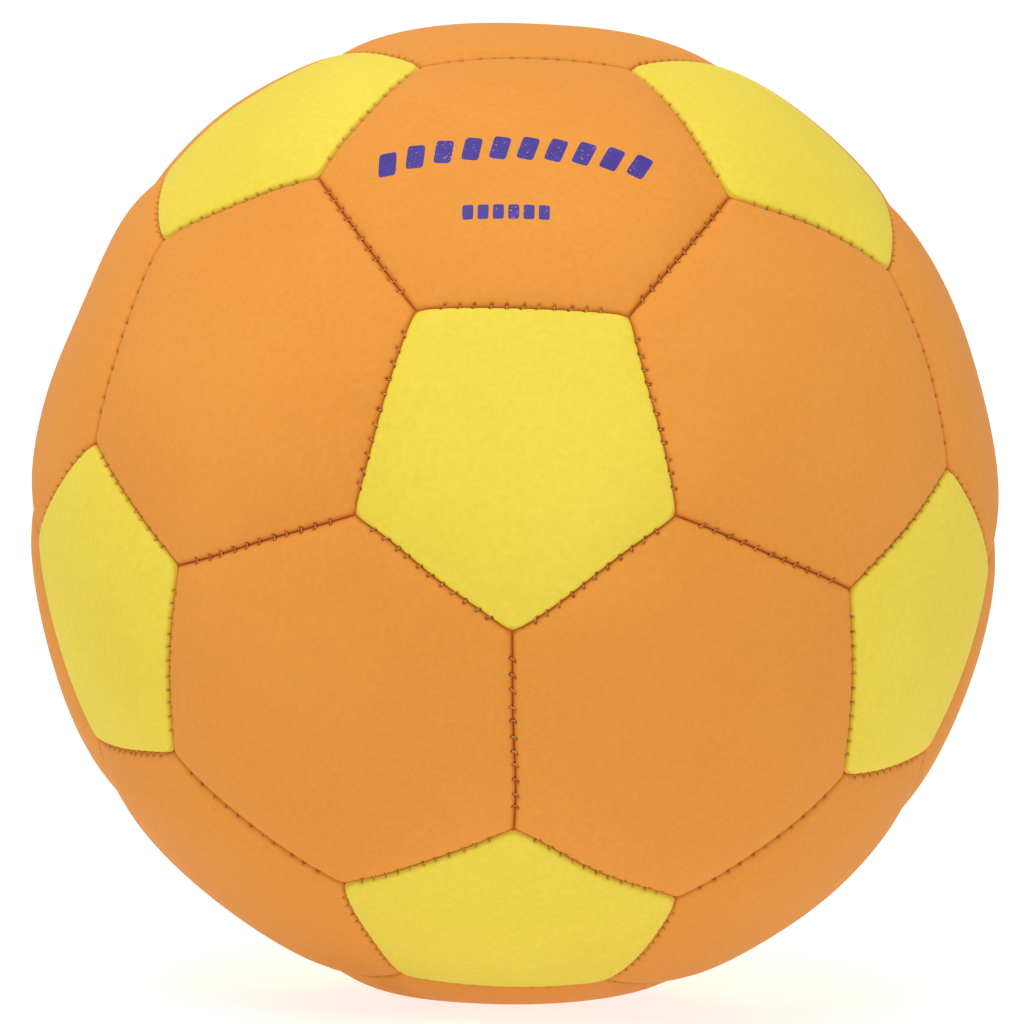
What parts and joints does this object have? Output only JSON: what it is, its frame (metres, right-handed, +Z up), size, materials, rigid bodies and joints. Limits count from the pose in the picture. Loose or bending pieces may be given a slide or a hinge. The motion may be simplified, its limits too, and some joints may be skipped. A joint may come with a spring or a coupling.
{
  "type": "soccer ball",
  "caption": "Inflated ball with a stitched cover of pentagon and hexagon panels over a rubber bladder, filled through a needle valve.",
  "frame": {"origin": "centre of the ball", "axes": "+Z up through the middle of a hexagon, -Y out through the front pentagon, which stands on one corner, +X to the right as seen from the front"},
  "size_m": [0.188, 0.188, 0.188],
  "materials": {
    "orange_skin": "matte",
    "yellow_skin": "matte",
    "foam": "matte",
    "lining_cloth": "matte",
    "thread": "matte",
    "bladder_rubber": "satin",
    "valve_rubber": "satin",
    "valve_core": "satin",
    "ink": "satin"
  },
  "bodies": {
    "root": {"bladder": "bladder_rubber", "bobbin_thread_hexagon_seams": "thread", "bobbin_thread_pentagon_seams": "thread", "closing_thread": "thread", "hexagon_foam_pads": "foam", "hexagon_linings": "lining_cloth", "hexagon_panel_01": "orange_skin", "hexagon_panel_02": "orange_skin", "hexagon_panel_03": "orange_skin", "hexagon_panel_04": "orange_skin", "hexagon_panel_05": "orange_skin", "hexagon_panel_06": "orange_skin", "hexagon_panel_07": "orange_skin", "hexagon_panel_08": "orange_skin", "hexagon_panel_09": "orange_skin", "hexagon_panel_10": "orange_skin", "hexagon_panel_11": "orange_skin", "hexagon_panel_12": "orange_skin", "hexagon_panel_13": "orange_skin", "hexagon_panel_14": "orange_skin", "hexagon_panel_15": "orange_skin", "hexagon_panel_16": "orange_skin", "hexagon_panel_17": "orange_skin", "hexagon_panel_18": "orange_skin", "hexagon_panel_19": "orange_skin", "needle_thread_hexagon_seams": "thread", "needle_thread_pentagon_seams": "thread", "pentagon_foam_pads": "foam", "pentagon_linings": "lining_cloth", "pentagon_panel_01": "yellow_skin", "pentagon_panel_02": "yellow_skin", "pentagon_panel_03": "yellow_skin", "pentagon_panel_04": "yellow_skin", "pentagon_panel_05": "yellow_skin", "pentagon_panel_06": "yellow_skin", "pentagon_panel_07": "yellow_skin", "pentagon_panel_08": "yellow_skin", "pentagon_panel_09": "yellow_skin", "pentagon_panel_10": "yellow_skin", "pentagon_panel_11": "yellow_skin", "pentagon_panel_12": "yellow_skin", "printed_mark": "ink", "valve_foam_pad": "foam", "valve_housing": "valve_rubber", "valve_insert": "valve_core", "valve_lining": "lining_cloth", "valve_panel": "orange_skin", "valve_patch": "lining_cloth"}
  },
  "joints": []
}
